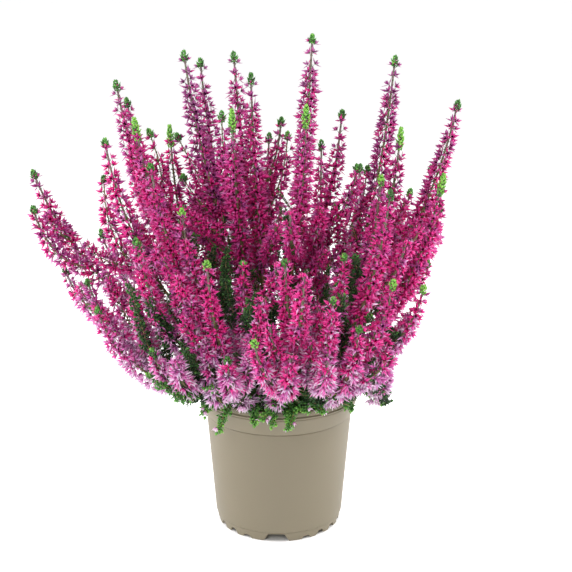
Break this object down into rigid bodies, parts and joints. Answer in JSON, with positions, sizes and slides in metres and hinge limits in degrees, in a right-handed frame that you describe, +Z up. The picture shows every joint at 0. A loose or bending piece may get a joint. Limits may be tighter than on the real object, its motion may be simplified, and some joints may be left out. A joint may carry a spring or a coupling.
{
  "type": "potted heather",
  "caption": "Heather in bloom in a round plastic nursery pot: leafy cuttings rooted in peat, each forking into upright stems that end in magenta flower racemes.",
  "frame": {"origin": "centre of the pot's base, on the surface that the pot stands on", "axes": "+Z up along the pot's axis; +X to the right and +Y away, seen from the plant's front"},
  "size_m": [0.3291, 0.2902, 0.391],
  "materials": {
    "pot_plastic": "matte",
    "peat": "matte",
    "leafy_stems": "matte",
    "heather_flowers": "matte"
  },
  "bodies": {
    "root": {"pot": "pot_plastic", "peat": "peat", "cutting_backLeft": "leafy_stems", "cutting_backRight": "leafy_stems", "cutting_frontLeft": "leafy_stems", "cutting_frontRight": "leafy_stems", "cutting_left": "leafy_stems", "cutting_middle": "leafy_stems", "cutting_right": "leafy_stems", "raceme_backLeft_1": "heather_flowers", "raceme_backLeft_2": "heather_flowers", "raceme_backLeft_3": "heather_flowers", "raceme_backLeft_4": "heather_flowers", "raceme_backLeft_5": "heather_flowers", "raceme_backLeft_6": "heather_flowers", "raceme_backLeft_7": "heather_flowers", "raceme_backRight_1": "heather_flowers", "raceme_backRight_2": "heather_flowers", "raceme_backRight_3": "heather_flowers", "raceme_backRight_4": "heather_flowers", "raceme_backRight_5": "heather_flowers", "raceme_backRight_6": "heather_flowers", "raceme_frontLeft_1": "heather_flowers", "raceme_frontLeft_2": "heather_flowers", "raceme_frontLeft_3": "heather_flowers", "raceme_frontLeft_4": "heather_flowers", "raceme_frontLeft_5": "heather_flowers", "raceme_frontLeft_6": "heather_flowers", "raceme_frontLeft_7": "heather_flowers", "raceme_frontLeft_8": "heather_flowers", "raceme_frontLeft_9": "heather_flowers", "raceme_frontRight_1": "heather_flowers", "raceme_frontRight_2": "heather_flowers", "raceme_frontRight_3": "heather_flowers", "raceme_frontRight_4": "heather_flowers", "raceme_frontRight_5": "heather_flowers", "raceme_frontRight_6": "heather_flowers", "raceme_frontRight_7": "heather_flowers", "raceme_left_1": "heather_flowers", "raceme_left_2": "heather_flowers", "raceme_left_3": "heather_flowers", "raceme_left_4": "heather_flowers", "raceme_left_5": "heather_flowers", "raceme_left_6": "heather_flowers", "raceme_left_7": "heather_flowers", "raceme_middle_1": "heather_flowers", "raceme_middle_2": "heather_flowers", "raceme_middle_3": "heather_flowers", "raceme_middle_4": "heather_flowers", "raceme_middle_5": "heather_flowers", "raceme_middle_6": "heather_flowers", "raceme_middle_7": "heather_flowers", "raceme_middle_8": "heather_flowers", "raceme_right_1": "heather_flowers", "raceme_right_2": "heather_flowers", "raceme_right_3": "heather_flowers", "raceme_right_4": "heather_flowers", "raceme_right_5": "heather_flowers", "raceme_right_6": "heather_flowers", "raceme_right_7": "heather_flowers"}
  },
  "joints": []
}
